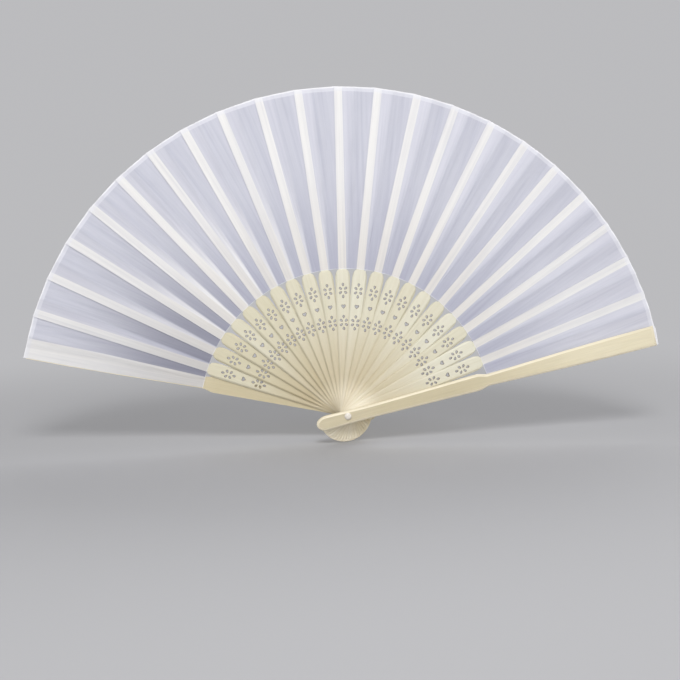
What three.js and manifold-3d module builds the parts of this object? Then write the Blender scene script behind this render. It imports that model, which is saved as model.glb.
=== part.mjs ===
// Folding hand fan: two guards, twenty one pierced sticks and a pleated leaf on one rivet, shown open.
// The open fan stands in the XZ plane, seen from -Y. The rivet's axis is Y, through the origin.
import * as THREE from 'three';
import { mergeVertices } from 'three/addons/utils/BufferGeometryUtils.js';
import Module from 'manifold-3d';

const wasm = await Module();
wasm.setup();

// How the fan opens: the inner sticks, and the angle from each stick to the next.
const stickCount = 21;
const pitchDeg = 7;
const guardLeanDeg = 0.3;

// Layers along Y, millimetres.
const stickThickness = 0.66;
const runningGap = 0.14;
const ribThickness = 0.36;
const guardThickness = 2.3;

// Stick outline: half widths across, and distances from the rivet along the stick.
const stickTail = 17;
const bladeHalfWidth = 3.4;
const headHalfWidth = 4.35;
const ribHalfWidth = 2.33;
const headStart = 74;
const shoulderStart = 80.8;
const shoulderEnd = 85.9;
const ribOverhang = 2.6;

// Piercing of each stick: two flowers of six drops with a heart between them, set below the shoulder.
const headMargin = 2.9;
const pierceGap = 4.2;
const petalLength = 1.6;
const petalWidth = 1.15;
const petalEndReach = 3.5;
const petalSideReach = 1.25;
const petalSideSpread = 1.5;
const heartLength = 2;
const heartWidth = 2.2;

// Guard outline, about a middle line that runs beside the rivet.
const guardOffset = 0.8;
const guardTail = 19;
const guardTip = 191;
const guardTailHalfWidth = 4.4;
const guardWaist = 12;
const guardWaistHalfWidth = 3.75;
const guardHeadHalfWidth = 4.95;
const guardShoulderStart = 79.5;
const guardShoulderEnd = 87;
const guardNeckHalfWidth = 3.5;
const guardSwell = 148;
const guardSwellHalfWidth = 5.6;
const guardTipHalfWidth = 6.1;
const guardBevelWidth = 1.1;
const guardBevelDepth = 0.7;
const guardRelief = 1.1;
const guardNoseRound = 5;
const guardTailRound = 7;

// Leaf: one cloth, cut here at its folds, each piece glued to the front of one rib.
const leafClearance = 0.6;
const leafOuter = 192.6;
const guardClothInset = 0.4;
const clothThickness = 0.1;
const glueGap = 0.03;
const foldGap = 0.08;
const ribMargin = 0.17;
const pleatSlopeDeg = 10;
const seamGap = 0.02;

// Rivet.
const rivetRadius = 1;
const rivetClearance = 0.06;
const capRadius = 2.1;
const capHeight = 1.4;
const capSocketDepth = 1;
const seatGap = 0.1;
const washerRadius = 2.7;
const washerThickness = 0.5;
const rearHeadHeight = 1;
const boreSides = 16;
const roundSides = 24;

const layerPitch = stickThickness + runningGap;
const pitch = THREE.MathUtils.degToRad(pitchDeg);
const guardLean = THREE.MathUtils.degToRad(guardLeanDeg);
const middle = (stickCount + 1) / 2;
const lastLayer = stickCount + 1;
const valley = ribHalfWidth + ribMargin;
const leafInner = shoulderEnd + leafClearance;
const shoulderHeight = shoulderEnd - shoulderStart;
const flowerReach = petalEndReach + petalLength / 2;
const upperFlower = shoulderStart - headMargin - flowerReach;
const heartPlace = upperFlower - flowerReach - pierceGap - heartLength / 2;
const lowerFlower = heartPlace - heartLength / 2 - pierceGap - flowerReach;

// The Y of a layer's rear face: layer 0 is the rear guard, the last one the front guard.
function rearFace(layer) {
  return (middle - layer) * layerPitch + stickThickness / 2;
}

// A group whose X runs across a layer's stick and whose Z runs from the rivet along it.
function layerGroup(layer, lean = 0) {
  const group = new THREE.Group();
  group.rotation.y = (layer - middle) * pitch + lean;
  group.position.y = rearFace(layer);
  return group;
}

function finish(color, roughness, metalness = 0) {
  return new THREE.MeshStandardMaterial({ color, roughness, metalness });
}

function add(group, name, geometry, material) {
  const mesh = new THREE.Mesh(geometry, material);
  mesh.name = name;
  group.add(mesh);
  return group;
}

// A closed three.js geometry as a solid, and a solid as a geometry.
function toSolid(geometry) {
  const bare = geometry.index ? geometry.toNonIndexed() : geometry.clone();
  bare.deleteAttribute('normal');
  bare.deleteAttribute('uv');
  const merged = mergeVertices(bare, 1e-4);
  return new wasm.Manifold(new wasm.Mesh({
    numProp: 3,
    vertProperties: merged.attributes.position.array,
    triVerts: new Uint32Array(merged.index.array),
  }));
}

function toGeometry(solid) {
  const mesh = solid.getMesh();
  const geometry = new THREE.BufferGeometry();
  geometry.setAttribute('position', new THREE.BufferAttribute(mesh.vertProperties, 3));
  geometry.setIndex(new THREE.BufferAttribute(mesh.triVerts, 1));
  const flat = geometry.toNonIndexed();
  flat.computeVertexNormals();
  return flat;
}

// A plate of an outline drawn across and along a stick, from the depth start to start + depth.
// Depth 0 is the layer's rear face and grows towards the viewer, along -Y.
function plate(outline, holes, start, depth) {
  const shape = new THREE.Shape(outline);
  shape.holes = holes.map((points) => new THREE.Path(points));
  const geometry = new THREE.ExtrudeGeometry(shape, { depth, bevelEnabled: false });
  return geometry.translate(0, 0, start).rotateX(Math.PI / 2);
}

function box(xLow, xHigh, zLow, zHigh, start, depth) {
  const corners = [[xLow, zLow], [xHigh, zLow], [xHigh, zHigh], [xLow, zHigh]];
  return plate(corners.map(([x, z]) => new THREE.Vector2(x, z)), [], start, depth);
}

// Points of an ellipse's arc, between two angles in turns.
function arc(x, z, radiusX, radiusZ, from, to, steps) {
  return Array.from({ length: steps + 1 }, (_, i) => {
    const angle = 2 * Math.PI * (from + ((to - from) * i) / steps);
    return new THREE.Vector2(x + radiusX * Math.cos(angle), z + radiusZ * Math.sin(angle));
  });
}

// Points of the soft S by which a guard's edge goes from one half width to another.
function shoulder(fromX, toX, fromZ, toZ, steps) {
  return Array.from({ length: steps + 1 }, (_, i) => {
    const t = i / steps;
    const ease = (1 - Math.cos(Math.PI * t)) / 2;
    return new THREE.Vector2(fromX + (toX - fromX) * ease, fromZ + (toZ - fromZ) * t);
  });
}

function mirrored(points) {
  return points.map((p) => new THREE.Vector2(-p.x, p.y)).reverse();
}

function bore() {
  const radius = rivetRadius + rivetClearance;
  return arc(0, 0, radius, radius, 0, 1 - 1 / boreSides, boreSides - 1);
}

// A drop whose point looks at the flower's middle.
function petal(x, z, turn) {
  const half = petalLength / 2;
  const wide = petalWidth / 2;
  const right = [[0, -half], [0.85 * wide, 0.05 * half], [0.8 * wide, 0.7 * half], [0, half]];
  const left = [[-0.8 * wide, 0.7 * half], [-0.85 * wide, 0.05 * half]];
  const centre = new THREE.Vector2(x, z);
  return [...right, ...left].map(([px, pz]) => (
    new THREE.Vector2(px, pz).rotateAround(new THREE.Vector2(), turn).add(centre)
  ));
}

function flower(z) {
  const ends = [petal(0, z + petalEndReach, 0), petal(0, z - petalEndReach, Math.PI)];
  const sides = [[1, 1], [-1, 1], [-1, -1], [1, -1]].map(([right, up]) => {
    const turn = Math.atan2(up * petalSideReach, right * petalSideSpread);
    return petal(right * petalSideSpread, z + up * petalSideReach, turn - Math.PI / 2);
  });
  return [...ends, ...sides];
}

function heart(z) {
  const long = heartLength / 2;
  const wide = heartWidth / 2;
  const right = [[0, -1], [0.62, -0.35], [1, 0.3], [0.85, 0.8], [0.42, 0.95]];
  const half = right.map(([px, pz]) => new THREE.Vector2(px * wide, z + pz * long));
  const notch = new THREE.Vector2(0, z + 0.62 * long);
  return [...half, notch, ...mirrored(half.slice(1))];
}

// One stick: the pierced blade, and the thinner rib that carries the leaf.
function stickGeometry() {
  const tail = arc(0, bladeHalfWidth - stickTail, bladeHalfWidth, bladeHalfWidth, -0.25, 0, 5);
  const right = [
    ...tail,
    new THREE.Vector2(bladeHalfWidth, 0),
    new THREE.Vector2(headHalfWidth, headStart),
    ...arc(ribHalfWidth, shoulderStart, headHalfWidth - ribHalfWidth, shoulderHeight, 0, 0.25, 6),
  ];
  const outline = [...right, ...mirrored(right.slice(1))];
  const holes = [bore(), ...flower(lowerFlower), heart(heartPlace), ...flower(upperFlower)];
  const blade = toSolid(plate(outline, holes, 0, stickThickness));
  const ribTip = leafOuter - ribOverhang;
  const rib = box(-ribHalfWidth, ribHalfWidth, shoulderEnd - 0.5, ribTip, 0, ribThickness);
  return toGeometry(blade.add(toSolid(rib)));
}

// A guard's outline: a handle with a slight waist, a shoulder, and a long widening end.
function guardOutline() {
  const half = guardTailHalfWidth;
  const nose = arc(0, guardNoseRound - guardTail, half, guardNoseRound, -0.25, 0, 5);
  const tail = arc(0, guardTailRound - guardTail, half, guardTailRound, -0.5, -0.25, 6);
  const side = [
    new THREE.Vector2(guardWaistHalfWidth, guardWaist),
    ...shoulder(guardHeadHalfWidth, guardNeckHalfWidth, guardShoulderStart, guardShoulderEnd, 6),
    new THREE.Vector2(guardSwellHalfWidth, guardSwell),
    new THREE.Vector2(guardTipHalfWidth, guardTip),
  ];
  const outline = [...nose, ...side, ...mirrored(side), ...tail.slice(0, -1)];
  return outline.map((p) => new THREE.Vector2(p.x + guardOffset, p.y));
}

// A guard's plate, bevelled all round its far face. Its near face is at depth 0.
function guardPlate() {
  const shape = new THREE.Shape(guardOutline());
  const rounded = new THREE.ExtrudeGeometry(shape, {
    depth: guardThickness,
    bevelThickness: guardBevelDepth,
    bevelSize: guardBevelWidth,
    bevelOffset: -guardBevelWidth,
    bevelSegments: 1,
  });
  rounded.translate(0, 0, -guardBevelDepth).rotateX(Math.PI / 2);
  const wide = 2 * guardTipHalfWidth;
  const keep = toSolid(box(-wide, wide, -2 * guardTail, 2 * guardTip, 0, 2 * guardThickness));
  const cut = toSolid(plate(bore(), [], -1, 2 * guardThickness));
  return toSolid(rounded).intersect(keep).subtract(cut);
}

// The front guard's far face looks at the viewer, and its leaf end is hollowed behind for the pleats.
function frontGuardGeometry() {
  const wide = 2 * guardTipHalfWidth;
  const hollow = box(-wide, wide, shoulderEnd, 2 * guardTip, -1, 1 + guardRelief);
  return toGeometry(guardPlate().subtract(toSolid(hollow)));
}

// The rear guard's far face looks away, so its plate is turned over and keeps the same outline.
function rearGuardGeometry() {
  const wide = 2 * guardTipHalfWidth;
  const turned = guardPlate().mirror([0, 1, 0]).translate([0, -stickThickness, 0]);
  const hollow = box(-wide, wide, shoulderEnd, 2 * guardTip, ribThickness, stickThickness);
  return toGeometry(turned.subtract(toSolid(hollow)));
}

// The leaf's edge between two valley folds is straight, so a place on it is a share of that chord.
function chordPoint(radius, share) {
  const start = new THREE.Vector2(-valley, Math.sqrt(radius * radius - valley * valley));
  const end = start.clone().rotateAround(new THREE.Vector2(), -pitch);
  return start.lerp(end, share);
}

function chordShare(radius, x) {
  return (x + valley) / (chordPoint(radius, 1).x + valley);
}

// How a pleat piece's lines lie at one radius: the share of the chord, and the depth of its back.
// The order is its left end, the rib's right side, the mountain fold, then the way back to the next rib.
function pleatLines(radius) {
  const rest = ribThickness + glueGap;
  const ribShare = chordShare(radius, valley);
  const chord = chordPoint(radius, 0).distanceTo(chordPoint(radius, 1));
  const rise = (0.5 - ribShare) * chord * Math.tan(THREE.MathUtils.degToRad(pleatSlopeDeg));
  const back = rest + clothThickness + foldGap;
  return [
    { share: 0, depth: rest },
    { share: ribShare, depth: rest },
    { share: 0.5, depth: rest + rise },
    { share: 1 - ribShare, depth: back },
    { share: 1, depth: back },
  ];
}

// A closed strip through given lines, from the leaf's inner edge to its outer one.
// lines(radius) gives each line's share of the chord and depth; lip is how far its left end turns back.
function clothStrip(lines, lip) {
  const count = lines(leafInner).length + (lip > 0 ? 1 : 0);
  const grid = new THREE.BoxGeometry(count - 1, 1, 1, count - 1, 1, 1);
  const place = grid.attributes.position;
  for (let i = 0; i < place.count; i += 1) {
    const front = place.getZ(i) > 0;
    const radius = place.getY(i) > 0 ? leafOuter : leafInner;
    const along = lines(radius);
    const column = Math.round(place.getX(i) + (count - 1) / 2);
    const index = lip > 0 ? column - 1 : column;
    const line = along[Math.max(index, 0)];
    const point = chordPoint(radius, line.share);
    const turned = lip > 0 && index <= 0 && !front;
    const depth = index < 0 ? line.depth - lip : line.depth + (front ? clothThickness : 0);
    place.setXYZ(i, point.x + (turned ? clothThickness : 0), -depth, point.y);
  }
  const flat = grid.toNonIndexed();
  flat.computeVertexNormals();
  return flat;
}

// One pleat: over its rib, up to the mountain fold, and down to the next rib's left side.
function pleatGeometry() {
  const step = layerPitch - 2 * clothThickness - foldGap;
  return clothStrip(pleatLines, step - seamGap);
}

// Where the cloth on a guard ends across it, as a share: on its left side (-1) or its right (1).
function guardClothShare(radius, side) {
  const t = (radius - guardShoulderEnd) / (guardTip - guardShoulderEnd);
  const half = guardNeckHalfWidth + (guardTipHalfWidth - guardNeckHalfWidth) * t;
  const centre = guardOffset + radius * Math.sin(guardLean);
  return chordShare(radius, centre + side * (half - guardClothInset));
}

// The first pleat lies on the rear guard and keeps inside the guard's left edge.
function firstPleatGeometry() {
  const lines = (radius) => {
    const [, ...rest] = pleatLines(radius);
    return [{ share: guardClothShare(radius, -1), depth: rest[0].depth }, ...rest];
  };
  return clothStrip(lines, 0);
}

// The leaf's last half pleat is glued flat behind the front guard and keeps inside its right edge.
function lastPleatGeometry() {
  const depth = guardRelief - glueGap - clothThickness;
  const lines = (radius) => {
    const end = Math.min(0.5, guardClothShare(radius, 1));
    return [{ share: 0, depth }, { share: end, depth }];
  };
  const reach = depth + layerPitch - (ribThickness + glueGap + 2 * clothThickness + foldGap);
  return clothStrip(lines, reach - seamGap);
}

// The rivet: a pin with a rear head, a washer, and a domed cap on the front guard.
function frontSeat() {
  return rearFace(lastLayer) - guardThickness - seatGap;
}

function rearSeat() {
  return rearFace(0) - stickThickness + guardThickness + seatGap;
}

function dome(radius, height, base, steps) {
  return Array.from({ length: steps + 1 }, (_, i) => {
    const angle = (Math.PI / 2) * (i / steps);
    return new THREE.Vector2(radius * Math.cos(angle), base + height * Math.sin(angle));
  });
}

function turnedPiece(points) {
  return new THREE.LatheGeometry(points, roundSides).toNonIndexed();
}

function pinGeometry() {
  const front = frontSeat() - capSocketDepth + seatGap;
  const head = rearSeat() + washerThickness + seatGap;
  const profile = [
    new THREE.Vector2(0, front),
    new THREE.Vector2(rivetRadius, front),
    new THREE.Vector2(rivetRadius, head),
    ...dome(capRadius, rearHeadHeight, head, 5),
  ];
  profile[profile.length - 1].x = 0;
  return turnedPiece(profile);
}

function washerGeometry() {
  const inner = rivetRadius + rivetClearance;
  const low = rearSeat();
  const high = low + washerThickness;
  return turnedPiece([
    new THREE.Vector2(inner, low),
    new THREE.Vector2(washerRadius, low),
    new THREE.Vector2(washerRadius, high),
    new THREE.Vector2(inner, high),
    new THREE.Vector2(inner, low),
  ]);
}

function capGeometry() {
  const inner = rivetRadius + rivetClearance;
  const outer = dome(capRadius, -capHeight, frontSeat(), 6).reverse();
  outer[0].x = 0;
  return turnedPiece([
    ...outer,
    new THREE.Vector2(inner, frontSeat()),
    new THREE.Vector2(inner, frontSeat() - capSocketDepth),
    new THREE.Vector2(0, frontSeat() - capSocketDepth),
  ]);
}

// Ivory tints that differ a little from stick to stick, as bamboo does.
function stickTint(index) {
  const warm = 0.5 + 0.5 * Math.sin(index * 2.4);
  const light = 0.5 + 0.5 * Math.sin(index * 4.1 + 1);
  return new THREE.Color(0.87 + 0.03 * light, 0.84 + 0.03 * light, 0.7 + 0.05 * light - 0.05 * warm);
}

function padded(index) {
  return String(index).padStart(2, '0');
}

const fan = new THREE.Group();
fan.name = 'folding_fan';

const guardFinish = finish(new THREE.Color(0.9, 0.84, 0.66), 0.45);
fan.add(add(layerGroup(0, guardLean), 'guard_rear', rearGuardGeometry(), guardFinish));

const stickShape = stickGeometry();
for (let index = 1; index <= stickCount; index += 1) {
  const name = `stick_${padded(index)}`;
  fan.add(add(layerGroup(index), name, stickShape, finish(stickTint(index), 0.5)));
}

fan.add(add(layerGroup(lastLayer, guardLean), 'guard_front', frontGuardGeometry(), guardFinish));

const clothFinish = finish(new THREE.Color(0.8, 0.8, 0.86), 0.85);
const pleatShape = pleatGeometry();
fan.add(add(layerGroup(0), `leaf_pleat_${padded(0)}`, firstPleatGeometry(), clothFinish));
for (let index = 1; index <= stickCount; index += 1) {
  fan.add(add(layerGroup(index), `leaf_pleat_${padded(index)}`, pleatShape, clothFinish));
}
const lastName = `leaf_pleat_${padded(lastLayer)}`;
fan.add(add(layerGroup(lastLayer), lastName, lastPleatGeometry(), clothFinish));

const rivet = new THREE.Group();
add(rivet, 'rivet_pin', pinGeometry(), finish(new THREE.Color(0.75, 0.75, 0.77), 0.3, 1));
add(rivet, 'rivet_washer', washerGeometry(), finish(new THREE.Color(0.9, 0.9, 0.88), 0.35));
add(rivet, 'rivet_cap', capGeometry(), finish(new THREE.Color(0.93, 0.93, 0.92), 0.2));
fan.add(rivet);

export default fan;
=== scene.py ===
"""Dresses the open folding fan: pierced bamboo sticks, two guards, a pleated silk leaf and the rivet.

Every piece is built in millimetres in its layer's own frame, where X runs across the stick, Z runs
from the rivet along it, and the front looks towards -Y. It is then set into the fan in metres.
"""

from __future__ import annotations

import logging
import math
from collections.abc import Callable
from dataclasses import dataclass
from enum import Enum

import bmesh
import bpy
from mathutils import Matrix, Vector, noise


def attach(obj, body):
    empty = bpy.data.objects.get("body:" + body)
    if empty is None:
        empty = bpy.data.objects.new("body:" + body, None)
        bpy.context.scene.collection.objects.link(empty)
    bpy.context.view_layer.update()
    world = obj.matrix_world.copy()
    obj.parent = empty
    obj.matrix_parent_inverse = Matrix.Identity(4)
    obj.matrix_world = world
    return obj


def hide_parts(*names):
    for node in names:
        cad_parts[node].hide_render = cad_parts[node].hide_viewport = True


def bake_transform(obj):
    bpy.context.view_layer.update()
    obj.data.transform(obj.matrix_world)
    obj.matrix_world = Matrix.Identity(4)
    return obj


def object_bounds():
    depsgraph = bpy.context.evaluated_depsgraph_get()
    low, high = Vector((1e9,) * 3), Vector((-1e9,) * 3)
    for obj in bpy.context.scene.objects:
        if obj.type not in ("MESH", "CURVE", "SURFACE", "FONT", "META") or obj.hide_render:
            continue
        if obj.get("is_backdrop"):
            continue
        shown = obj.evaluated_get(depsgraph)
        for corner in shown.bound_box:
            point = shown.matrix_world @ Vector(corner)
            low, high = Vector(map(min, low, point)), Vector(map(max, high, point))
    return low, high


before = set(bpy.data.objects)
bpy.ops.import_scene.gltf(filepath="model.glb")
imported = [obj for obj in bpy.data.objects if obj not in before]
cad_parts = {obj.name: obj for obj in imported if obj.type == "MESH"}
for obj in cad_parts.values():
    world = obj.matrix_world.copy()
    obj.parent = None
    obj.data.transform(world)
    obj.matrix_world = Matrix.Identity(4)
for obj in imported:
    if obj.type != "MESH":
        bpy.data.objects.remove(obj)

LOG = logging.getLogger("folding_fan")
MM = 0.001

STICK_COUNT = 21
MIDDLE_LAYER = 11
FRONT_LAYER = STICK_COUNT + 1
PITCH = math.radians(7)
GUARD_LEAN = math.radians(0.3)
LAYER_PITCH = 0.8
STICK_THICKNESS = 0.66
RIB_THICKNESS = 0.36
BLADE_HALF_WIDTH = 3.4
HEAD_HALF_WIDTH = 4.35
HEAD_START = 74.0
RIB_HALF_WIDTH = 2.33
SHOULDER_END = 85.9
GUARD_THICKNESS = 2.3
GUARD_RELIEF = 1.1
BORE_RADIUS = 1.06
BORE_STEPS = 28
SURE_ARC = 0.999

Colour = tuple[float, float, float]
Place = tuple[float, float, float]
Point = tuple[float, float]
Socket = bpy.types.NodeSocket
Feed = Socket | Vector | Colour | tuple[float, ...] | float


class Slot(Enum):
    """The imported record's material slots."""

    GUARD = "guard_bamboo"
    STICK = "stick_bamboo"
    LEAF = "leaf_silk"
    STEEL = "rivet_steel"
    WASHER = "washer_plastic"
    CAP = "cap_plastic"


class Facing(Enum):
    """Which way a guard's rounded outer face looks."""

    FRONT = "front"
    REAR = "rear"


def rear_face(layer: int) -> float:
    """Gives the Y of the rear face of layer 0, the rear guard, to 22, the front guard."""
    return (MIDDLE_LAYER - layer) * LAYER_PITCH + STICK_THICKNESS / 2


def layer_place(layer: int, lean: float = 0.0) -> Matrix:
    """Gives the matrix from a layer's own frame to the fan, for a piece that leans past its angle."""
    turn = Matrix.Rotation((layer - MIDDLE_LAYER) * PITCH + lean, 4, "Y")
    return Matrix.Scale(MM, 4) @ Matrix.Translation((0, rear_face(layer), 0)) @ turn


def body_name(layer: int) -> str:
    """Gives the name of the body, and of the CAD node, at a layer.

    Args:
        layer: The layer's number.

    Returns:
        The name.
    """
    if layer == 0:
        return "guard_rear"
    if layer == FRONT_LAYER:
        return "guard_front"
    return f"stick_{layer:02d}"


class Step(Enum):
    """The ways from one value to another."""

    SMOOTH = "SMOOTHSTEP"
    EVEN = "LINEAR"


class Workpiece:
    """A mesh in the making, in millimetres, in its layer's own frame."""

    def __init__(self) -> None:
        """Starts with an empty mesh."""
        self.bm = bmesh.new()

    def mirrored_face(self, right: list[Point]) -> list[list[bmesh.types.BMVert]]:
        """Makes one flat face at the rear plane, the same on both sides, looking at the viewer.

        Args:
            right: The places of its right corners across and along, from the tail to the tip.

        Returns:
            Each right corner's vertex with the left one across from it, in the same order.
        """
        corners = right + [(-x, z) for x, z in reversed(right)]
        verts = [self.bm.verts.new((x, 0, z)) for x, z in corners]
        self.bm.faces.new(verts)
        return [[vert, verts[-1 - number]] for number, vert in enumerate(verts[:len(right)])]

    def round_corners(
        self, verts: list[bmesh.types.BMVert], radius: float, segments: int
    ) -> list[bmesh.types.BMVert]:
        """Rounds corners of a flat face.

        Args:
            verts: The corner vertices.
            radius: How far each rounding reaches along both edges.
            segments: Edges in each rounding.

        Returns:
            The new vertices.
        """
        made = bmesh.ops.bevel(
            self.bm, geom=verts, offset=radius, offset_type="OFFSET", segments=segments,
            profile=0.5, affect="VERTICES", material=-1,
        )
        return made["verts"]

    def ring(self, radius: float, segments: int) -> list[bmesh.types.BMVert]:
        """Makes a loop of edges about the rivet's axis, in the rear plane.

        Args:
            radius: Its radius.
            segments: Its number of edges.

        Returns:
            Its vertices.
        """
        turn = Matrix.Rotation(math.pi / 2, 4, "X")
        made = bmesh.ops.create_circle(
            self.bm, cap_ends=False, segments=segments, radius=radius, matrix=turn
        )
        return made["verts"]

    def fill(self) -> None:
        """Turns all edges of the flat mesh into one filled region with its holes left open."""
        bmesh.ops.delete(self.bm, geom=self.bm.faces[:], context="FACES_ONLY")
        bmesh.ops.triangle_fill(
            self.bm, use_beauty=True, use_dissolve=False, edges=self.bm.edges[:], normal=(0, -1, 0)
        )

    def slice_across(self, stations: list[float]) -> None:
        """Cuts new edges into the whole mesh at distances from the rivet.

        Args:
            stations: The distances along the piece.
        """
        for station in stations:
            bmesh.ops.bisect_plane(
                self.bm, geom=self.bm.verts[:] + self.bm.edges[:] + self.bm.faces[:],
                plane_co=(0, 0, station), plane_no=(0, 0, 1), dist=0.01,
            )

    def thicken(self, depth: float) -> None:
        """Extrudes the flat region towards the viewer.

        Args:
            depth: The plate's thickness.
        """
        made = bmesh.ops.extrude_face_region(self.bm, geom=self.bm.faces[:])
        verts = [part for part in made["geom"] if isinstance(part, bmesh.types.BMVert)]
        bmesh.ops.translate(self.bm, verts=verts, vec=(0, -depth, 0))
        bmesh.ops.recalc_face_normals(self.bm, faces=self.bm.faces[:])

    def cap(self, side: int) -> list[bmesh.types.BMFace]:
        """Finds the flat faces that look at the viewer, for a side of -1, or away, for 1."""
        self.bm.normal_update()
        return [face for face in self.bm.faces if face.normal.y * side > 0.99]

    def soften(self, faces: list[bmesh.types.BMFace], rings: tuple[Point, ...]) -> None:
        """Rounds the rim of a flat region with narrow rings that rise towards its middle.

        Args:
            faces: The region.
            rings: The width and the rise of each ring, from the rim inwards.
        """
        for width, rise in rings:
            bmesh.ops.inset_region(
                self.bm, faces=faces, thickness=width, depth=rise,
                use_even_offset=True, use_boundary=True,
            )

    def move_depth(self, change: Callable[[float, float], float]) -> None:
        """Gives every vertex a new depth, from its old one and its distance along."""
        for vert in self.bm.verts:
            vert.co.y = -change(-vert.co.y, vert.co.z)

    def map_surface(self, layer_name: str, chart: Callable[[Vector], Point]) -> None:
        """Writes a UV map.

        Args:
            layer_name: The map's name.
            chart: A function from a vertex's place to its two coordinates.
        """
        layer = self.bm.loops.layers.uv.get(layer_name) or self.bm.loops.layers.uv.new(layer_name)
        for face in self.bm.faces:
            for loop in face.loops:
                loop[layer].uv = chart(loop.vert.co)

    def finish(
        self, name: str, place: Matrix, material: bpy.types.Material, sharp_degrees: float = 42.0
    ) -> bpy.types.Object:
        """Sets the mesh into the fan as an object at the origin.

        Args:
            name: The object's name.
            place: The matrix from the layer's frame to the fan.
            material: Its material.
            sharp_degrees: Edges that turn further than this stay sharp.

        Returns:
            The object.
        """
        limit = math.radians(sharp_degrees)
        self.bm.normal_update()
        for face in self.bm.faces:
            face.smooth = True
        for edge in self.bm.edges:
            edge.smooth = edge.calc_face_angle(0.0) < limit
        bmesh.ops.transform(self.bm, matrix=place, verts=self.bm.verts[:])
        mesh = bpy.data.meshes.new(name)
        self.bm.to_mesh(mesh)
        self.bm.free()
        mesh.materials.append(material)
        piece = bpy.data.objects.new(name, mesh)
        bpy.context.scene.collection.objects.link(piece)
        return piece


class Graph:
    """The node tree of a new material or world, with short calls for what the finishes share."""

    def __init__(self, owner: bpy.types.Material | bpy.types.World) -> None:
        """Finds the owner's own shader and output node.

        Args:
            owner: The new material or world.
        """
        owner.use_nodes = True
        self.owner = owner
        self.tree = owner.node_tree
        self.shader = next(node for node in self.tree.nodes if node.outputs)
        self.output = next(node for node in self.tree.nodes if not node.outputs)

    def add(
        self, kind: str, inputs: dict[int | str, Feed], output: int | str = 0, **settings: str
    ) -> Socket:
        """Adds a node.

        Args:
            kind: The node's type.
            inputs: Input names or numbers, each with a socket to link or a value to set.
            output: The output to hand back.
            settings: The node's own properties.

        Returns:
            The output socket.
        """
        node = self.tree.nodes.new(kind)
        for key, value in settings.items():
            setattr(node, key, value)
        for key, value in inputs.items():
            self.feed(node.inputs[key], value)
        return node.outputs[output]

    def feed(self, socket: Socket, value: Feed) -> None:
        """Links a socket, or sets its value.

        Args:
            socket: The input.
            value: A socket, a number or a colour.
        """
        if isinstance(value, Socket):
            self.tree.links.new(value, socket)
        else:
            socket.default_value = value

    def surface(self, **inputs: Feed) -> None:
        """Sets or links inputs of the surface shader.

        Args:
            inputs: What goes into each input, named with underscores for spaces.
        """
        for key, value in inputs.items():
            self.feed(self.shader.inputs[key.replace("_", " ")], value)

    def show(self, shader: Socket) -> None:
        """Shows another shader than the owner's own."""
        self.feed(self.output.inputs["Surface"], shader)

    def chart(self, name: str, scale: Point) -> Socket:
        """Reads a UV map, scaled to so many pattern units in a metre across and along."""
        where = self.add("ShaderNodeUVMap", {}, uv_map=name)
        return self.add("ShaderNodeMapping", {0: where, "Scale": (scale[0], scale[1], 1.0)})

    def part(self, name: str, axis: int) -> Socket:
        """Reads a UV map's first coordinate, for an axis of 0, or its second, for 1."""
        where = self.add("ShaderNodeUVMap", {}, uv_map=name)
        return self.add("ShaderNodeSeparateXYZ", {0: where}, output=axis)

    def grid(self, scale: Place) -> Socket:
        """Reads the piece's own coordinates, scaled to so many pattern units in a metre."""
        where = self.add("ShaderNodeTexCoord", {}, output="Object")
        return self.add("ShaderNodeMapping", {0: where, "Scale": scale})

    def noise(self, where: Socket, detail: float = 2.0, roughness: float = 0.5) -> Socket:
        """Adds a noise pattern, from 0 to 1, of so many octaves, the finer ones as strong as set."""
        values = {"Vector": where, "Scale": 1.0, "Detail": detail, "Roughness": roughness}
        return self.add("ShaderNodeTexNoise", values)

    def remap(
        self, value: Feed, low: float, high: float, to_low: float = 0.0, to_high: float = 1.0,
        step: Step = Step.SMOOTH,
    ) -> Socket:
        """Brings a value from one range to another.

        Args:
            value: The value.
            low: Where the step begins.
            high: Where it ends.
            to_low: The result at low and below.
            to_high: The result at high and above.
            step: The way between them.

        Returns:
            The new value.
        """
        values = {0: value, 1: low, 2: high, 3: to_low, 4: to_high}
        return self.add("ShaderNodeMapRange", values, interpolation_type=step.value)

    def ramp(self, value: Feed, low: float, high: float, to_low: float, to_high: float) -> Socket:
        """Brings a value evenly from one range to another."""
        return self.remap(value, low, high, to_low, to_high, Step.EVEN)

    def math(self, operation: str, first: Feed, second: Feed = 0.0, third: Feed = 0.0) -> Socket:
        """Adds a named operation on up to three numbers."""
        return self.add("ShaderNodeMath", {0: first, 1: second, 2: third}, operation=operation)

    def product(self, first: Feed, second: Feed) -> Socket:
        """Multiplies two numbers."""
        return self.math("MULTIPLY", first, second)

    def mix(self, share: Feed, first: Feed, second: Feed, blend: str = "MIX") -> Socket:
        """Mixes two colours.

        Args:
            share: The second colour's share.
            first: The first colour, a socket or three numbers.
            second: The second colour.
            blend: How the second lies on the first.

        Returns:
            The mixed colour.
        """
        colours = [c if isinstance(c, Socket) else (*c, 1.0) for c in (first, second)]
        values = {0: share, 6: colours[0], 7: colours[1]}
        return self.add("ShaderNodeMix", values, output=2, data_type="RGBA", blend_type=blend)

    def bump(
        self, height: Socket, distance: float, strength: float, below: Socket | None = None
    ) -> Socket:
        """Makes a normal from a height.

        Args:
            height: The height, from 0 to 1.
            distance: How far a height of 1 stands out, in metres.
            strength: The bump's share.
            below: A normal that this one lies on.

        Returns:
            The normal.
        """
        values = {"Height": height, "Distance": distance, "Strength": strength}
        if below is not None:
            values["Normal"] = below
        return self.add("ShaderNodeBump", values)


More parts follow.
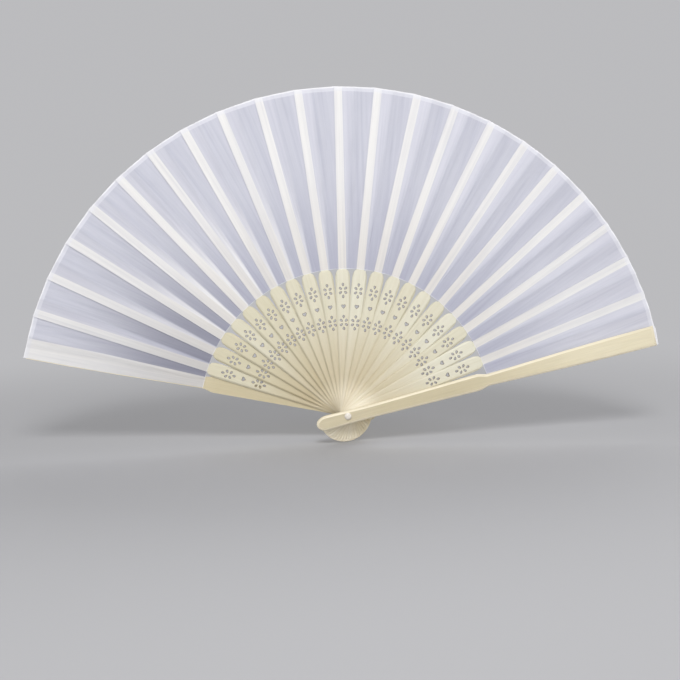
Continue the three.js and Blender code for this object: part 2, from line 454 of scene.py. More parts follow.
GRAIN_MAP = "Grain"
RIM_MAP = "Rim"
WEAVE_MAP = "Weave"
GLUE_MAP = "Glue"
STICK_SPACING = 0.05
PLEAT_SPACING = 0.03


@dataclass(frozen=True)
class Stain:
    """A noise pattern on one of a piece's maps, and the tone that it lays over the colour.

    The stretch is in pattern units in a metre. The tone grows between the two ends to its share.
    """

    stretch: Point
    detail: float
    roughness: float
    ends: Point
    share: float
    tone: Colour

    def lay(self, g: Graph, chart: str, colour: Feed) -> tuple[Socket, Socket]:
        """Lays the tone over a colour.

        Args:
            g: The material's graph.
            chart: The name of the map.
            colour: The colour below.

        Returns:
            The bare pattern and the new colour.
        """
        pattern = g.noise(g.chart(chart, self.stretch), self.detail, self.roughness)
        share = g.remap(pattern, *self.ends, 0.0, self.share)
        return pattern, g.mix(share, colour, self.tone, "MULTIPLY")


@dataclass(frozen=True)
class BambooFinish:
    """Pale bamboo: long fibres, soft blotches, and a tone that changes along the piece, brightened near
    the rivet by a painted highlight, with painted shade on the blade edges, the piercings and the first
    sticks.
    """

    name: str
    # A painted highlight that brightens the sticks and their tails near the rivet.
    pivot_highlight: Colour
    near: Colour
    far: Colour
    near_end: float
    far_start: float
    warm: Colour
    warm_share: float
    # The paler bevel tone is paler cut fibres, partly a painted highlight.
    bevel: Colour
    # The dark tone on the piercings' walls is painted shade.
    hole_shade: Colour
    fibre_contrast: float
    roughness: float
    crown: float
    pivot_highlight_ends: Point = (0.008, 0.024)
    bevel_share: float = 0.75
    hole_shade_share: float = 0.95
    # The darker tone along the blade edges is painted shade between the overlapping sticks.
    dim_tone: Colour = (0.86, 0.82, 0.74)
    edge_shade_share: float = 0.25
    rounding_start: float = 0.72
    rounding_depth: float = 0.00046
    # The first sticks on the left take more of the warm tone as painted shade.
    shaded_first_sticks: Point = (2.0, 11.0)
    first_shade_share: float = 0.6
    chance_share: float = 0.55
    bands: Stain = Stain((640.0, 11.0), 2.0, 0.5, (0.4, 0.7), 0.6, (0.955, 0.94, 0.9))
    blotches: Stain = Stain((150.0, 60.0), 3.0, 0.6, (0.45, 0.75), 0.7, (0.97, 0.975, 0.95))
    pores: Stain = Stain((5200.0, 420.0), 2.0, 0.5, (0.66, 0.78), 0.5, (0.86, 0.8, 0.68))

    def build(self) -> bpy.types.Material:
        """Builds the material.

        Returns:
            The material.
        """
        g = Graph(bpy.data.materials.new(self.name))
        along = g.part(GRAIN_MAP, 1)
        colour = g.mix(g.remap(along, self.near_end, self.far_start), self.near, self.far)
        # Painted highlight near the rivet.
        colour = g.mix(g.remap(along, *self.pivot_highlight_ends), self.pivot_highlight, colour)
        # Each stick's random warm tone, with painted shade on the first sticks.
        colour = g.mix(self.own_tone_and_shade(g), colour, self.warm, "MULTIPLY")
        dark = (1 - self.fibre_contrast,) * 3
        fibre_stain = Stain((3100.0, 42.0), 4.0, 0.62, (0.35, 0.7), 1.0, dark)
        fibres, colour = fibre_stain.lay(g, GRAIN_MAP, colour)
        bands, colour = self.bands.lay(g, GRAIN_MAP, colour)
        for stain in (self.blotches, self.pores):
            _, colour = stain.lay(g, GRAIN_MAP, colour)
        # Paler bevel: paler cut fibres, partly a painted highlight.
        colour = g.mix(g.product(g.part(RIM_MAP, 0), self.bevel_share), colour, self.bevel)
        # Painted shade in the piercings.
        colour = g.mix(g.product(g.part(RIM_MAP, 1), self.hole_shade_share), colour, self.hole_shade)
        edges = self.rounded_edges(g)
        # Painted shade along the blade edges.
        colour = g.mix(g.product(edges, self.edge_shade_share * self.crown), colour, self.dim_tone, "MULTIPLY")
        rounding = g.bump(g.math("SUBTRACT", 1.0, edges), self.rounding_depth, self.crown)
        relief = g.bump(fibres, 0.00005, 0.35, g.bump(bands, 0.00012, 0.25, rounding))
        shine = g.remap(fibres, 0.3, 0.75, self.roughness - 0.05, self.roughness + 0.09)
        g.surface(Base_Color=colour, Roughness=shine, Normal=relief)
        g.surface(IOR=1.45, Coat_Weight=0.08, Coat_Roughness=0.35)
        return g.owner

    def rounded_edges(self, g: Graph) -> Socket:
        """Finds the long edges of a blade, for their rounding and their painted shade, whose width grows
        evenly up to its head.

        Args:
            g: The material's graph.

        Returns:
            0 over the blade's middle and 1 at its edges.
        """
        across = g.math("WRAP", g.part(GRAIN_MAP, 0), STICK_SPACING / 2, -STICK_SPACING / 2)
        along = g.part(GRAIN_MAP, 1)
        blade = g.ramp(along, 0.0, HEAD_START * MM, BLADE_HALF_WIDTH * MM, HEAD_HALF_WIDTH * MM)
        shoulder = ((SHOULDER_END - 0.1) * MM, (SHOULDER_END + 0.5) * MM)
        narrowing = g.ramp(along, *shoulder, 0.0, (HEAD_HALF_WIDTH - RIB_HALF_WIDTH) * MM)
        width = g.math("SUBTRACT", blade, narrowing)
        return g.remap(g.math("DIVIDE", g.math("ABSOLUTE", across), width), self.rounding_start, 1.0)

    def own_tone_and_shade(self, g: Graph) -> Socket:
        """Gives each stick its own random share of the warm tone, the first ones more of it as painted
        shade.

        Args:
            g: The material's graph.

        Returns:
            The share, the same all over one stick.
        """
        place = g.math("DIVIDE", g.part(GRAIN_MAP, 0), STICK_SPACING)
        number = g.math("FLOOR", g.math("ADD", place, 0.5))
        chance = g.add("ShaderNodeTexWhiteNoise", {"W": number}, noise_dimensions="1D")
        first = g.ramp(number, *self.shaded_first_sticks, self.first_shade_share, 0.0)
        share = g.math("MULTIPLY_ADD", chance, self.chance_share, first)
        return g.product(share, self.warm_share)


@dataclass(frozen=True)
class SilkFinish:
    """Thin white silk: pale over the glued rib, cooler where it hangs free, with a woven hem. Painted
    light and shade make each pleat lighter beside its rib than past its fold, and the cloth darker near
    the blades.

    A pair that ends in side is a range of the share between the valleys, one that ends in pleats a
    range of pleat numbers, and one that ends in reach a range of distances from the rivet.
    """

    name: str
    # The lit tones and the darker free tones are painted light and shade on the two sides of each fold.
    lit: Colour
    # The inner tones are darkened with painted shade near the blades.
    lit_inner: Colour
    free: Colour
    free_inner: Colour
    glued: Colour
    glued_inner: Colour
    hem: Colour
    edge: Colour
    # A painted highlight beside the ribs of the left pleats.
    glow: Colour
    # Painted shade past the fold, and on the glued cloth, of the first pleats near the blades.
    dusk: Colour
    glued_dusk: Colour
    inner_end: float
    hem_start: float
    edge_start: float
    cover: float
    tone_reach: Point = (0.08, 0.15)
    lit_side: Point = (0.34, 0.54)
    fold_side: Point = (0.47, 0.57)
    # Painted light past the fold, near the next valley.
    valley_side: Point = (0.86, 0.97)
    valley_share: float = 0.35
    glow_pleats: Point = (1.3, 3.3)
    dull_pleats: Point = (6.3, 11.8)
    glow_reach: Point = (0.1, 0.16)
    dusk_pleats: Point = (1.6, 5.6)
    dusk_reach: Point = (0.1, 0.19)
    glued_pleats: Point = (1.0, 4.0)
    glued_reach: Point = (0.1, 0.2)
    # A painted highlight past the fold of the last pleats on the right.
    last_pleats: Point = (17.6, 21.6)
    last_reach: Point = (0.11, 0.16)
    glue_blur: float = 0.0002
    thread_tone: Colour = (0.86, 0.86, 0.88)
    thread_pitch: float = 640.0
    streaks: Stain = Stain((900.0, 14.0), 3.0, 0.6, (0.4, 0.72), 0.9, (0.92, 0.925, 0.94))
    swathes: Stain = Stain((330.0, 6.0), 2.0, 0.5, (0.42, 0.66), 0.9, (0.93, 0.93, 0.95))
    wrinkles: Stain = Stain((120.0, 46.0), 3.0, 0.55, (0.45, 0.75), 0.8, (0.965, 0.965, 0.97))

    def build(self) -> bpy.types.Material:
        """Builds the material.

        Returns:
            The material.
        """
        g = Graph(bpy.data.materials.new(self.name))
        along = g.part(WEAVE_MAP, 1)
        inside_glue = g.remap(g.part(GLUE_MAP, 0), -self.glue_blur, self.glue_blur)
        colour = g.mix(inside_glue, self.free_cloth(g, along), self.glued_cloth(g, along))
        streaks, colour = self.streaks.lay(g, WEAVE_MAP, colour)
        _, colour = self.swathes.lay(g, WEAVE_MAP, colour)
        wrinkles, colour = self.wrinkles.lay(g, WEAVE_MAP, colour)
        for start, width, before, after, tone in (
            (self.hem_start, 0.0003, 0.0, 0.55, self.hem),
            (self.edge_start, 0.0004, 0.0, 0.8, self.edge),
            (self.inner_end, 0.0004, 0.7, 0.0, self.edge),
        ):
            colour = g.mix(g.remap(along, start, start + width, before, after), colour, tone)
        threads = self.threads(g)
        colour = g.mix(g.product(threads, 0.25), colour, self.thread_tone, "MULTIPLY")
        relief = g.bump(threads, 0.00003, 0.5, g.bump(wrinkles, 0.0006, 0.3))
        relief = g.bump(streaks, 0.00015, 0.3, relief)
        g.surface(Base_Color=colour, Normal=relief, Roughness=0.52, Alpha=self.cover)
        g.surface(Sheen_Weight=0.25, Sheen_Roughness=0.35, Specular_IOR_Level=0.4)
        return g.owner

    def outward(self, g: Graph, along: Socket, inner: Colour, outer: Colour) -> Socket:
        """Mixes the tone near the blades, darkened with painted shade, with the tone of the leaf's outer
        part.
        """
        return g.mix(g.remap(along, *self.tone_reach), inner, outer)

    def pleat_number(self, g: Graph) -> Socket:
        """Gives the pleat's number, growing from its own at the left to nearly the next one's."""
        return g.math("DIVIDE", g.part(WEAVE_MAP, 0), PLEAT_SPACING)

    def glued_cloth(self, g: Graph, along: Socket) -> Socket:
        """Gives the colour over the ribs, with painted shade near the blades, most on the first ones.

        Args:
            g: The material's graph.
            along: The distance from the rivet.

        Returns:
            The colour.
        """
        # Painted shade near the blades.
        glued = self.outward(g, along, self.glued_inner, self.glued)
        first = g.ramp(self.pleat_number(g), *self.glued_pleats, 1.0, 0.0)
        first = g.product(first, g.remap(along, *self.glued_reach, 1.0, 0.0))
        # Painted shade on the first ribs near the blades.
        return g.mix(first, glued, self.glued_dusk, "MULTIPLY")

    def free_cloth(self, g: Graph, along: Socket) -> Socket:
        """Gives the colour between the ribs, with painted light and shade that differ on the two sides of
        the fold.

        Towards the left, a painted highlight brightens pleats beside their own rib and painted shade
        darkens them past their fold, most of all near the blades. The last ones on the right get a
        painted highlight past their fold.

        Args:
            g: The material's graph.
            along: The distance from the rivet.

        Returns:
            The colour.
        """
        share = g.part(GLUE_MAP, 1)
        near_side = self.outward(g, along, self.lit_inner, self.lit)
        far_side = self.outward(g, along, self.free_inner, self.free)
        # Painted light and shade: lighter beside the rib, darker past the fold.
        free = g.mix(g.remap(share, *self.lit_side), near_side, far_side)
        # Painted light near the next valley.
        free = g.mix(g.remap(share, *self.valley_side, 0.0, self.valley_share), free, near_side)
        pleat = self.pleat_number(g)
        past_fold = g.remap(share, *self.fold_side)
        dull = g.ramp(pleat, *self.dull_pleats, 0.0, 1.0)
        beside = g.math("SUBTRACT", g.remap(pleat, *self.glow_pleats), dull)
        beside = g.product(beside, g.remap(along, *self.glow_reach, 1.0, 0.0))
        beside = g.product(beside, g.math("SUBTRACT", 1.0, past_fold))
        # Painted highlight beside the rib.
        free = g.mix(g.math("MAXIMUM", beside, 0.0), free, self.glow)
        first = g.ramp(pleat, *self.dusk_pleats, 1.0, 0.0)
        first = g.product(first, g.remap(along, *self.dusk_reach, 1.0, 0.0))
        # Painted shade past the fold.
        free = g.mix(g.product(first, past_fold), free, self.dusk, "MULTIPLY")
        last = g.product(g.ramp(pleat, *self.last_pleats, 0.0, 1.0), g.remap(along, *self.last_reach))
        # Painted highlight on the last pleats.
        return g.mix(g.product(last, past_fold), free, self.lit)

    def threads(self, g: Graph) -> Socket:
        """Makes the weave: weft across the leaf, warp along its radius.

        Args:
            g: The material's graph.

        Returns:
            The weave's height, from 0 to 1.
        """
        waves = []
        for stretch, axis in (((0.0, 1.0), "Y"), ((1.0, 0.0), "X")):
            where = g.chart(WEAVE_MAP, stretch)
            values = {"Vector": where, "Scale": self.thread_pitch, "Distortion": 0.0}
            waves.append(g.add("ShaderNodeTexWave", values, bands_direction=axis))
        return g.product(*waves)


@dataclass(frozen=True)
class PlasticFinish:
    """Moulded plastic with a faint haze and fine scratches."""

    name: str
    colour: Colour
    dim_tone: Colour
    roughness: float

    def build(self) -> bpy.types.Material:
        """Builds the material.

        Returns:
            The material.
        """
        g = Graph(bpy.data.materials.new(self.name))
        haze = g.noise(g.grid((900.0, 900.0, 900.0)), 3.0)
        scuffs = g.noise(g.grid((4200.0, 4200.0, 700.0)), 2.0)
        colour = g.mix(g.remap(haze, 0.35, 0.7), self.colour, self.dim_tone)
        shine = g.remap(scuffs, 0.4, 0.7, self.roughness, self.roughness + 0.14)
        g.surface(Base_Color=colour, Roughness=shine, Normal=g.bump(haze, 0.00004, 0.25))
        g.surface(Coat_Weight=0.3, Coat_Roughness=0.12)
        return g.owner


@dataclass(frozen=True)
class SteelFinish:
    """Drawn wire: a dull metal with marks along the pin."""

    name: str
    colour: Colour
    dull: Colour

    def build(self) -> bpy.types.Material:
        """Builds the material.

        Returns:
            The material.
        """
        g = Graph(bpy.data.materials.new(self.name))
        marks = g.noise(g.grid((3600.0, 260.0, 3600.0)), 3.0)
        colour = g.mix(g.remap(marks, 0.35, 0.7), self.colour, self.dull)
        shine = g.remap(marks, 0.35, 0.7, 0.26, 0.42)
        g.surface(Base_Color=colour, Roughness=shine, Metallic=1.0)
        g.surface(Normal=g.bump(marks, 0.00002, 0.3))
        return g.owner


@dataclass(frozen=True)
class Sticks:
    """The inner sticks: a pierced blade with a rounded tail and head, and a thin rib."""

    finish: BambooFinish
    tail: float = 17.0
    shoulder_start: float = 80.8
    rib_tip: float = 190.0
    rib_ramp: float = 0.45
    tip_round: float = 0.6
    rim_rise: float = 0.144
    front_rim: tuple[Point, ...] = ((0.05, 0.09), (0.1, 0.05), (0.12, 0.004))
    rear_rim: tuple[Point, ...] = ((0.05, 0.02),)
    upper_flower: float = 73.6
    heart: float = 64.1
    lower_flower: float = 54.6
    petal_length: float = 1.6
    petal_width: float = 1.15
    petal_middle: float = 0.84
    petal_taper: float = 0.56
    petal_end_reach: float = 3.5
    petal_side_reach: float = 1.25
    petal_side_spread: float = 1.5
    flower_reach: Point = (3.2, 6.0)
    heart_length: float = 2.0
    heart_width: float = 2.2

    def build(self) -> None:
        """Builds all sticks."""
        material = self.finish.build()
        for layer in range(1, FRONT_LAYER):
            self.build_one(layer, material)
        LOG.info("sticks: %d pierced blades with ribs", STICK_COUNT)

    def build_one(self, layer: int, material: bpy.types.Material) -> None:
        """Builds one stick and sets it on its body.

        Args:
            layer: Its layer.
            material: The bamboo.
        """
        work = Workpiece()
        self.draw_outline(work)
        self.pierce(work)
        work.fill()
        work.thicken(STICK_THICKNESS - self.rim_rise)
        front, rear = work.cap(-1), work.cap(1)
        work.soften(front, self.front_rim)
        work.soften(rear, self.rear_rim)
        work.slice_across([SHOULDER_END, SHOULDER_END + self.rib_ramp])
        work.move_depth(self.thin_rib)
        offset = layer * STICK_SPACING
        work.map_surface(GRAIN_MAP, lambda co: (co.x * MM + offset, co.z * MM))
        work.map_surface(RIM_MAP, self.paint_hole_shade)
        piece = work.finish(f"stick_blade_{layer:02d}", layer_place(layer), material)
        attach(piece, body_name(layer))
        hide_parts(body_name(layer))

    def draw_outline(self, work: Workpiece) -> None:
        """Draws the blade's and the rib's outline, with round tail, shoulders and tip.

        Args:
            work: The mesh in the making.
        """
        blade, head, rib = BLADE_HALF_WIDTH, HEAD_HALF_WIDTH, RIB_HALF_WIDTH
        pairs = work.mirrored_face([
            (blade, -self.tail), (blade, 0.0), (head, HEAD_START), (head, SHOULDER_END),
            (rib, SHOULDER_END), (rib, self.rib_tip),
        ])
        tails, _, _, shoulders, _, tips = pairs
        work.round_corners(tips, self.tip_round, 3)
        reach = head - rib
        stretch = (SHOULDER_END - self.shoulder_start) / reach
        for vert in work.round_corners(shoulders, reach * SURE_ARC, 7):
            vert.co.z = SHOULDER_END + (vert.co.z - SHOULDER_END) * stretch
        work.round_corners(tails, blade * SURE_ARC, 8)
        bmesh.ops.remove_doubles(work.bm, verts=work.bm.verts[:], dist=0.02)

    def pierce(self, work: Workpiece) -> None:
        """Adds the loops of the bore, the two flowers and the heart.

        Args:
            work: The mesh in the making.
        """
        work.ring(BORE_RADIUS, BORE_STEPS)
        ends = [(0.0, self.petal_end_reach), (0.0, -self.petal_end_reach)]
        spread, reach = self.petal_side_spread, self.petal_side_reach
        sides = [(spread, reach), (spread, -reach), (-spread, reach), (-spread, -reach)]
        for middle in (self.lower_flower, self.upper_flower):
            for x, z in ends + sides:
                self.drop(work, middle, x, z)
        self.cut_heart(work)

    def drop(self, work: Workpiece, middle: float, x: float, z: float) -> None:
        """Adds a drop whose narrow end looks at its flower's middle.

        Args:
            work: The mesh in the making.
            middle: The flower's distance from the rivet.
            x: The drop's place across, from the flower's middle.
            z: Its place along.
        """
        verts = work.ring(0.5, 12)
        for vert in verts:
            taper = min(1.0, self.petal_middle + self.petal_taper * vert.co.z)
            vert.co.x *= self.petal_width * taper
            vert.co.z *= self.petal_length
        turn = Matrix.Rotation(math.pi / 2 - math.atan2(z, x), 4, "Y")
        place = Matrix.Translation((x, 0, middle + z)) @ turn
        bmesh.ops.transform(work.bm, matrix=place, verts=verts)

    def cut_heart(self, work: Workpiece) -> None:
        """Adds the heart, its lobes away from the rivet.

        Args:
            work: The mesh in the making.
        """
        waves = (13, -5, -2, -1)
        curve_middle, curve_length = -2.5, 29
        for vert in work.ring(1.0, 24):
            angle = math.atan2(vert.co.x, vert.co.z)
            rise = sum(wave * math.cos(turns * angle) for turns, wave in enumerate(waves, 1))
            side = math.sin(angle)
            vert.co.x = self.heart_width * 0.5 * side * (0.4 + 0.6 * side**2)
            vert.co.z = self.heart + self.heart_length * (rise - curve_middle) / curve_length

    def paint_hole_shade(self, co: Vector) -> Point:
        """Gives a place's bevel share, and its share of the painted shade in the piercing.

        Args:
            co: The place.

        Returns:
            The two shares.
        """
        across, along = self.flower_reach
        inside = abs(co.x) < across and self.lower_flower - along < co.z < self.upper_flower + along
        wall = -0.01 < -co.y < STICK_THICKNESS - 0.002
        return 0.0, float(inside and wall)

    def thin_rib(self, depth: float, along: float) -> float:
        """Thins the rib that carries the leaf."""
        share = min(1.0, max(0.0, (along - SHOULDER_END) / self.rib_ramp))
        return depth * (1 + share * (RIB_THICKNESS / STICK_THICKNESS - 1))


@dataclass(frozen=True)
class GuardProfile:
    """The guards' outline, about a middle line that runs beside the rivet."""

    offset: float = 0.8
    tail: float = 19.0
    tip: float = 191.0
    tail_half_width: float = 4.4
    waist: float = 12.0
    waist_half_width: float = 3.75
    head_half_width: float = 4.95
    shoulder_start: float = 79.5
    shoulder_end: float = 87.0
    neck_half_width: float = 3.5
    swell: float = 148.0
    swell_half_width: float = 5.6
    tip_half_width: float = 6.1
    waist_round: float = 9.0
    swell_round: float = 14.0
    nose_round: float = 5.0
    tail_round: float = 7.0

    def side(self) -> list[Point]:
        """Gives the corners of the right side, from tail to tip, about the middle line.

        Returns:
            Places across and along.
        """
        return [
            (self.tail_half_width, -self.tail), (self.waist_half_width, self.waist), *self.shoulder(),
            (self.swell_half_width, self.swell), (self.tip_half_width, self.tip),
        ]

    def shoulder(self, steps: int = 8) -> list[Point]:
        """Gives the soft S from the head's half width to the neck's.

        Args:
            steps: Edges in the S.

        Returns:
            Its points.
        """
        drop = self.neck_half_width - self.head_half_width
        length = self.shoulder_end - self.shoulder_start
        points = []
        for share in [step / steps for step in range(steps + 1)]:
            half_width = self.head_half_width + drop * (1 - math.cos(math.pi * share)) / 2
            points.append((half_width, self.shoulder_start + length * share))
        return points

    def leaf_half_width(self, radius: float) -> float:
        """Gives half the leaf end's width.

        Args:
            radius: The distance from the rivet, from the shoulder's end on.

        Returns:
            The half width in millimetres.
        """
        corners = self.side()[-3:]
        low, high = corners[:2] if radius < self.swell else corners[1:]
        return low[0] + (high[0] - low[0]) * (radius - low[1]) / (high[1] - low[1])


@dataclass(frozen=True)
class Guard:
    """A guard: a broad handle, a soft shoulder and a long widening end, bevelled on its outer face."""

    finish: BambooFinish
    facing: Facing
    profile: GuardProfile
    bevel: tuple[Point, ...] = ((0.06, 0.1), (1.16, 0.58), (0.1, 0.02), (0.12, 0.0))
    relief_ramp: float = 0.5

    def build(self) -> None:
        """Builds the guard and sets it on its body."""
        layer = FRONT_LAYER if self.facing is Facing.FRONT else 0
        work = Workpiece()
        self.draw_outline(work)
        work.thicken(GUARD_THICKNESS - sum(height for _, height in self.bevel))
        work.soften(work.cap(-1), self.bevel)
        work.slice_across([SHOULDER_END, SHOULDER_END + self.relief_ramp])
        self.cut_bore(work)
        work.move_depth(self.thin_leaf_end)
        work.map_surface(RIM_MAP, self.bevel_share)
        if self.facing is Facing.REAR:
            work.move_depth(lambda depth, _: STICK_THICKNESS - depth)
            bmesh.ops.recalc_face_normals(work.bm, faces=work.bm.faces[:])
        offset = layer * STICK_SPACING
        work.map_surface(GRAIN_MAP, lambda co: (co.x * MM + offset, co.z * MM))
        name = f"guard_slat_{self.facing.value}"
        piece = work.finish(name, layer_place(layer, GUARD_LEAN), self.finish.build(), 50.0)
        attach(piece, body_name(layer))
        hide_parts(body_name(layer))
        LOG.info("guard: %s", self.facing.value)

    def bevel_share(self, co: Vector) -> Point:
        """Gives a place's share of the bevel's paler tone, partly a painted highlight, and none of the
        piercings' painted shade.
        """
        below = GUARD_THICKNESS + co.y
        return (1.0, 0.0) if 0.01 < below < 0.8 else (0.0, 0.0)

    def draw_outline(self, work: Workpiece) -> None:
        """Draws the guard's outline.

        Args:
            work: The mesh in the making.
        """
        shape = self.profile
        tails, waists, *_, swells, _ = work.mirrored_face(shape.side())
        work.round_corners(waists, shape.waist_round, 4)
        work.round_corners(swells, shape.swell_round, 5)
        self.round_tail(work, tails[0], shape.nose_round, 7)
        self.round_tail(work, tails[1], shape.tail_round, 8)
        bmesh.ops.remove_doubles(work.bm, verts=work.bm.verts[:], dist=0.03)
        bmesh.ops.translate(work.bm, verts=work.bm.verts[:], vec=(shape.offset, 0, 0))

    def round_tail(
        self, work: Workpiece, corner: bmesh.types.BMVert, height: float, segments: int
    ) -> None:
        """Rounds one corner of the tail to a quarter of an ellipse that reaches to the middle.

        Args:
            work: The mesh in the making.
            corner: The corner's vertex.
            height: The ellipse's reach along.
            segments: Edges in the rounding.
        """
        tail, width = self.profile.tail, self.profile.tail_half_width
        for vert in work.round_corners([corner], width * SURE_ARC, segments):
            vert.co.z = (vert.co.z + tail) * height / width - tail

    def cut_bore(self, work: Workpiece) -> None:
        """Cuts the rivet's bore through the guard.

        Args:
            work: The mesh in the making.
        """
        loops = []
        for side in (-1, 1):
            plate = next(f for f in work.cap(side) if f.calc_center_bounds().z < SHOULDER_END)
            depth = plate.verts[0].co.y
            border = plate.edges[:]
            bmesh.ops.delete(work.bm, geom=[plate], context="FACES_ONLY")
            ring = work.ring(BORE_RADIUS, BORE_STEPS)
            bmesh.ops.translate(work.bm, verts=ring, vec=(0, depth, 0))
            loop = list({edge for vert in ring for edge in vert.link_edges})
            bmesh.ops.triangle_fill(
                work.bm, use_beauty=True, use_dissolve=False, edges=border + loop, normal=(0, side, 0)
            )
            loops += loop
        bmesh.ops.bridge_loops(work.bm, edges=loops)
        bmesh.ops.recalc_face_normals(work.bm, faces=work.bm.faces[:])

    def thin_leaf_end(self, depth: float, along: float) -> float:
        """Hollows the inner face where the leaf lies.

        Args:
            depth: A vertex's depth, 0 on the inner face.
            along: Its distance from the rivet.

        Returns:
            Its new depth.
        """
        inner = GUARD_RELIEF if self.facing is Facing.FRONT else STICK_THICKNESS - RIB_THICKNESS
        share = min(1.0, max(0.0, (along - SHOULDER_END) / self.relief_ramp))
        return max(depth, inner * share)


@dataclass(frozen=True)
class Leaf:
    """The pleated silk, divided at its valley folds into one piece for each pleat."""

    finish: SilkFinish
    guard: GuardProfile
    inner: float = 86.5
    outer: float = 192.6
    valley: float = 2.5
    cloth: float = 0.1
    glue: float = 0.03
    fold_gap: float = 0.08
    slope: float = math.radians(10)
    seam: float = 0.02
    inset: float = 0.4
    hem: float = 2.6
    wave: float = 0.16
    broad_ripple: Place = (9.0, 0.045, 7.3)
    fine_ripple: Place = (26.0, 0.11, 3.1)
    fine_share: float = 0.45
    rows: int = 46
    hem_rows: int = 4
    lip_columns: int = 2
    panel_columns: tuple[int, ...] = (6, 9, 9, 4)
    last_columns: tuple[int, ...] = (8,)

    def build(self) -> None:
        """Builds every pleat."""
        material = self.finish.build()
        for layer in range(FRONT_LAYER + 1):
            self.build_pleat(layer, material)
        LOG.info("leaf: %d pleats", FRONT_LAYER + 1)

    def chord_point(self, radius: float, share: float) -> Vector:
        """Gives a place on the straight line between two valley folds.

        Args:
            radius: The distance from the rivet to the line's ends.
            share: How far along the line, 0 at the layer's own valley, 1 at the next.

        Returns:
            The place, across and along.
        """
        start = Vector((-self.valley, math.sqrt(radius**2 - self.valley**2)))
        turned = Matrix.Rotation(-PITCH, 2) @ start
        return start.lerp(turned, share)

    def chord_share(self, radius: float, across: float) -> float:
        """Gives the share of that line at a distance to the right of the rib's middle."""
        return (across + self.valley) / (self.chord_point(radius, 1.0).x + self.valley)

    def guard_edges(self, radius: float) -> Point:
        """Gives a guard's two edges, in the frame of its pleat.

        Args:
            radius: The distance from the rivet.

        Returns:
            The left and the right edge, across.
        """
        middle = self.guard.offset + radius * math.sin(GUARD_LEAN)
        half = self.guard.leaf_half_width(radius)
        return middle - half, middle + half

    def lines(self, layer: int, radius: float) -> list[Point]:
        """Gives the lines that a pleat bends at.

        Args:
            layer: The pleat's layer.
            radius: The distance from the rivet.

        Returns:
            The share and the depth of the cloth's front at each line, from the left.
        """
        if layer == FRONT_LAYER:
            depth = GUARD_RELIEF - self.glue
            end = self.chord_share(radius, self.guard_edges(radius)[1] - self.inset)
            return [(0.0, depth), (min(0.5, end), depth)]
        rest = RIB_THICKNESS + self.glue + self.cloth
        back = rest + self.cloth + self.fold_gap
        rib = self.chord_share(radius, self.valley)
        width = (self.chord_point(radius, 1.0) - self.chord_point(radius, 0.0)).length
        rise = (0.5 - rib) * width * math.tan(self.slope)
        left = 0.0
        if layer == 0:
            left = self.chord_share(radius, self.guard_edges(radius)[0] + self.inset)
        return [(left, rest), (rib, rest), (0.5, rest + rise), (1 - rib, back), (1.0, back)]

    def lip(self, layer: int) -> float:
        """Gives how far a pleat's left end turns back to meet the pleat behind.

        Args:
            layer: The pleat's layer.

        Returns:
            The lip's depth, or 0 where the pleat has none.
        """
        if layer == 0:
            return 0.0
        own = self.lines(layer, self.inner)[0][1] - self.cloth
        behind = RIB_THICKNESS + self.glue + 2 * self.cloth + self.fold_gap
        return own + LAYER_PITCH - behind - self.seam

    def build_pleat(self, layer: int, material: bpy.types.Material) -> None:
        """Builds one pleat.

        Args:
            layer: The pleat's layer.
            material: The silk.
        """
        work = Workpiece()
        lip_columns = self.lip_columns if layer > 0 else 0
        columns = sum(self.columns(layer)) + lip_columns
        made = bmesh.ops.create_grid(work.bm, x_segments=columns, y_segments=self.rows, size=1.0)
        for vert in made["verts"]:
            column = round((vert.co.x + 1) / 2 * columns) - lip_columns
            row = round((vert.co.y + 1) / 2 * self.rows)
            vert.co = self.place(layer, column, row)
        bmesh.ops.recalc_face_normals(work.bm, faces=work.bm.faces[:])
        if sum(face.normal.y for face in work.bm.faces) > 0:
            bmesh.ops.reverse_faces(work.bm, faces=work.bm.faces[:])
        bmesh.ops.solidify(work.bm, geom=work.bm.faces[:], thickness=self.cloth)
        bmesh.ops.recalc_face_normals(work.bm, faces=work.bm.faces[:])
        work.map_surface(WEAVE_MAP, lambda co: self.weave_place(co, layer))
        work.map_surface(GLUE_MAP, lambda co: self.glue_place(co, layer))
        weights = [self.turn_share(vert.co) for vert in work.bm.verts]
        piece = work.finish(f"leaf_silk_{layer:02d}", layer_place(layer), material, 55.0)
        self.join(piece, layer)

    def columns(self, layer: int) -> tuple[int, ...]:
        """Gives the columns between a pleat's lines."""
        return self.last_columns if layer == FRONT_LAYER else self.panel_columns

    def place(self, layer: int, column: int, row: int) -> Vector:
        """Gives the place of one point of the cloth's front.

        Args:
            layer: The pleat's layer.
            column: The point's column, below 0 on the turned lip.
            row: The point's row, from the inner edge.

        Returns:
            The place in the layer's frame.
        """
        radius = self.row_radius(row)
        lines = self.lines(layer, radius)
        if column < 0:
            flat = self.chord_point(radius, lines[0][0])
            depth = lines[0][1] + (self.lip(layer) + self.cloth) * column / self.lip_columns
            return Vector((flat.x, -depth, flat.y))
        counts = self.columns(layer)
        segment = 0
        while column > counts[segment]:
            column -= counts[segment]
            segment += 1
        part = column / counts[segment]
        low, high = lines[segment], lines[segment + 1]
        share = low[0] + (high[0] - low[0]) * part
        depth = low[1] + (high[1] - low[1]) * part
        if 0 < segment < 3:
            depth += self.ripple(layer, share, radius) * math.sin(math.pi * part) ** 2
        flat = self.chord_point(radius, share)
        return Vector((flat.x, -depth, flat.y))

